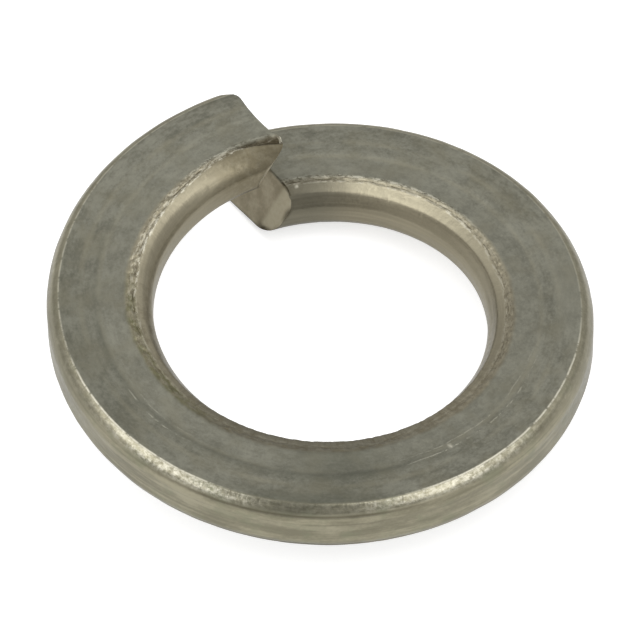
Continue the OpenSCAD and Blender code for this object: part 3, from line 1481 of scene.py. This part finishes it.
    def _ease_cut_edges(self, bm: bmesh.types.BMesh, layers: Layers) -> None:
        """Wears the edges of both cuts round, as tumbling does.

        Args:
            bm: The washer's mesh.
            layers: The mesh's layers.
        """
        near = [v for v in bm.verts if self._from_cut(v, layers)[0] < self.eased_reach]
        for _ in range(self.easing_rounds):
            bmesh.ops.smooth_vert(
                bm, verts=near, factor=0.5, use_axis_x=True, use_axis_y=True, use_axis_z=True
            )

    def _mark(self, bm: bmesh.types.BMesh, layers: Layers) -> None:
        """Presses the marks into the surface and notes where the finish changes with them.

        Args:
            bm: The washer's mesh.
            layers: The mesh's layers.
        """
        bm.normal_update()
        targets: list[Vector] = []
        for vert in bm.verts:
            p = BarPoint(*vert[layers.place])
            distance, end = self._from_cut(vert, layers)
            on_cut = vert[layers.cut]
            marks = self.relief.at(p, abs(vert.normal.z), self.coil.section)
            torn = self.shear.cut_face(p, end)
            depth = marks.depth + (torn.depth - marks.depth) * on_cut
            at_cut = smooth_step(*self.cut_border, distance)
            hollow = marks.hollow + (torn.hollow - marks.hollow) * at_cut
            glint = marks.glint
            move = Vector()
            if end is CutEnd.RAISED and distance < self.shear.recess_length:
                push, lift, recess = self.shear.raised_tip(p, distance)
                angle = p.along / self.coil.section.middle_radius
                move = Vector((math.cos(angle) * push, -math.sin(angle) * push, lift))
                depth += recess.depth
                hollow, glint = max(hollow, recess.hollow), max(glint, recess.glint)
            uncut = 1.0 - on_cut
            relief = self.relief
            vert[layers.hollow] = hollow * (1.0 - glint)
            vert[layers.glint] = glint
            vert[layers.crest] = Vector((
                p.radius - relief.crest_radius(p),
                between(relief.flaked, p.along) * uncut,
                between(relief.pleated, p.along) * uncut,
            ))
            # Shares along the bar of the break line's painted highlight, of the shoulder's painted
            # highlight and of the burnished facet
            vert[layers.bright] = Vector((
                between(relief.bright_break, p.along) * uncut,
                between(relief.shoulder_highlight, p.along) * uncut,
                between(relief.burnished_facet, p.along),
            ))
            targets.append(vert.co + move - vert.normal * depth)
        for vert, target in zip(bm.verts, targets):
            vert.co = target


class Easing(NamedTuple):
    """A level that eases from at_low, where something is low, to at_high, where it is high."""

    low: float
    high: float
    at_low: float
    at_high: float


@dataclass(frozen=True)
class StripLight:
    """A long softbox, stretched between two directions seen from the washer.

    Each direction is a bearing to the right of the camera's side and an elevation, in degrees.
    Distances are in metres.
    """

    name: str
    near: tuple[float, float]
    far: tuple[float, float]
    distance: float
    width: float
    radiance: float
    colour: str = "#ffffff"


@dataclass(frozen=True)
class Studio:
    """Camera, lamps, world and floor for the washer's picture.

    The tent's walls and roof are eased by how steeply a direction rises, and the card at the
    front by how nearly it points at the camera. Lengths are in metres.
    """

    washer_middle: float
    azimuth: float = math.radians(-18.6)
    elevation: float = 0.8765
    roll: float = -0.0232
    distance: float = 257.4 * MM
    focal_pixels: float = 6760.0
    frame_pixels: float = 640.0
    sensor_mm: float = 36.0
    aim_right: float = -0.03 * MM
    aim_ahead: float = 0.004 * MM
    clip_near: float = 0.01
    clip_far: float = 10.0
    floor_size: float = 3.0
    board_white: float = 0.7
    glow_seen: float = 0.62
    glow_mirrored: float = 0.35
    walls: Easing = Easing(0.1, 0.6, 0.7, 0.9)
    roof: Easing = Easing(0.84, 0.97, 1.0, 0.7)
    card: Easing = Easing(0.8, 0.95, 1.0, 0.6)
    lights: tuple[StripLight, ...] = (
        StripLight("left_strip", (-45.0, 20.0), (-145.0, 66.0), 0.30, 0.13, 1.9),
        StripLight("right_strip", (45.0, 20.0), (145.0, 66.0), 0.30, 0.13, 1.9),
    )

    def set_up(self) -> None:
        """Makes the camera first, then the lamps, the world and the floor."""
        bpy.context.scene.view_settings.view_transform = "Standard"
        self._camera()
        for light in self.lights:
            self._lamp(light)
        self._world()
        self._floor()

    def _toward(self, bearing: float, elevation: float) -> Vector:
        """Direction from the washer, by its bearing to the right of the camera.

        Args:
            bearing: Angle to the right of the camera's side.
            elevation: Angle over the floor.

        Returns:
            The direction, with a length of 1.
        """
        around = self.azimuth + bearing
        flat = math.cos(elevation)
        return Vector((math.sin(around) * flat, -math.cos(around) * flat, math.sin(elevation)))

    def _target(self) -> Vector:
        """The point that the camera looks at, by the middle of the washer."""
        turn = Matrix.Rotation(self.azimuth, 3, "Z")
        middle = Vector((0.0, 0.0, self.washer_middle))
        return turn @ Vector((self.aim_right, self.aim_ahead, 0.0)) + middle

    def _camera(self) -> None:
        """Places the camera at the photograph's angle, roll and framing."""
        data = bpy.data.cameras.new("camera")
        data.sensor_width = self.sensor_mm
        data.lens = self.focal_pixels / self.frame_pixels * self.sensor_mm
        data.clip_start = self.clip_near
        data.clip_end = self.clip_far
        camera = bpy.data.objects.new("camera", data)
        bpy.context.scene.collection.objects.link(camera)
        bpy.context.scene.camera = camera
        back = self._toward(0.0, self.elevation)
        right = Vector((math.cos(self.azimuth), math.sin(self.azimuth), 0.0))
        axes = Matrix((right, back.cross(right), back)).transposed().to_4x4()
        place = Matrix.Translation(self._target() + back * self.distance)
        camera.matrix_world = place @ axes @ Matrix.Rotation(self.roll, 4, "Z")

    def _lamp(self, light: StripLight) -> None:
        """Adds one softbox, aimed at the washer, with its power worked out from its radiance.

        Args:
            light: The softbox.
        """
        near, far = (
            self._toward(math.radians(bearing), math.radians(elevation))
            for bearing, elevation in (light.near, light.far)
        )
        away, lengthwise = (near + far).normalized(), (far - near).normalized()
        length = 2.0 * light.distance * math.tan(near.angle(far) / 2.0)
        data = bpy.data.lights.new(light.name, "AREA")
        data.shape = "RECTANGLE"
        data.size = length
        data.size_y = light.width
        data.energy = light.radiance * math.pi * length * light.width
        data.color = linear_colour(light.colour)[:3]
        lamp = bpy.data.objects.new(light.name, data)
        bpy.context.scene.collection.objects.link(lamp)
        turn = Matrix((lengthwise, away.cross(lengthwise), away)).transposed().to_4x4()
        lamp.matrix_world = Matrix.Translation(self._target() + away * light.distance) @ turn

    def _world(self) -> None:
        """White for the camera, and for the steel a pale tent with a darker card at the front."""
        world = bpy.data.worlds.new("studio")
        bpy.context.scene.world = world
        world.use_nodes = True
        tree = world.node_tree
        tree.nodes.clear()
        direction = add_node(tree, "TexCoord").node.outputs["Generated"]
        rise = add_node(tree, "SeparateXYZ", direction).node.outputs["Z"]
        camera_way = self._toward(0.0, self.elevation)
        facing = add_node(tree, "VectorMath", direction, camera_way, operation="DOT_PRODUCT")
        level: Socket | float = 1.0
        for value, easing in ((rise, self.walls), (rise, self.roof), (facing, self.card)):
            eased = add_node(tree, "MapRange", value, *easing, **EASED)
            level = add_node(tree, "Math", eased, level, operation="MULTIPLY")
        room, sweep = (
            add_node(tree, "Background", by_name={"Color": "#ffffff", "Strength": strength})
            for strength in (level, 1.0)
        )
        seen = add_node(tree, "LightPath").node.outputs["Is Camera Ray"]
        add_node(tree, "OutputWorld", add_node(tree, "MixShader", seen, room, sweep))

    def _floor(self) -> None:
        """A pale board that keeps the washer's shadow and otherwise reads as white."""
        mesh = bpy.data.meshes.new("floor")
        bm = bmesh.new()
        bmesh.ops.create_grid(bm, x_segments=1, y_segments=1, size=self.floor_size / 2.0)
        bm.to_mesh(mesh)
        bm.free()
        floor = bpy.data.objects.new("floor", mesh)
        bpy.context.scene.collection.objects.link(floor)
        material = bpy.data.materials.new("matt white board")
        material.use_nodes = True
        tree = material.node_tree
        tree.nodes.clear()
        board = add_node(tree, "BsdfDiffuse", (*[self.board_white] * 3, 1.0))
        path = add_node(tree, "LightPath").node.outputs
        seen = add_node(
            tree, "Math", path["Is Camera Ray"], self.glow_seen, operation="MULTIPLY"
        )
        lift = add_node(
            tree, "Math", path["Is Glossy Ray"], self.glow_mirrored, seen,
            operation="MULTIPLY_ADD",
        )
        glow = add_node(tree, "Emission", by_name={"Strength": lift})
        add_node(tree, "OutputMaterial", add_node(tree, "AddShader", board, glow))
        mesh.materials.append(material)


def main() -> None:
    """Builds the studio and the washer, and reports the piece."""
    logging.basicConfig(level=logging.INFO, format="%(name)s: %(message)s")
    _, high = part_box(NODE)
    bore = next(m for m in frame["record"]["mounts"] if m["name"] == "bore")
    coil = Coil(BarSection(bore_radius=bore["dims"]["r_mm"], outer_radius=high.x / MM))
    Studio(washer_middle=coil.middle_height * MM).set_up()
    maker = LockWasher(coil)
    washer = maker.build()
    maker.dress(washer)
    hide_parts(NODE)
    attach(washer, "root")
    triangles = sum(len(p.vertices) - 2 for p in washer.data.polygons)
    LOG.info("%s: %d triangles, %.2f mm across", washer.name, triangles, washer.dimensions.x / MM)


if __name__ == "__main__":
    main()
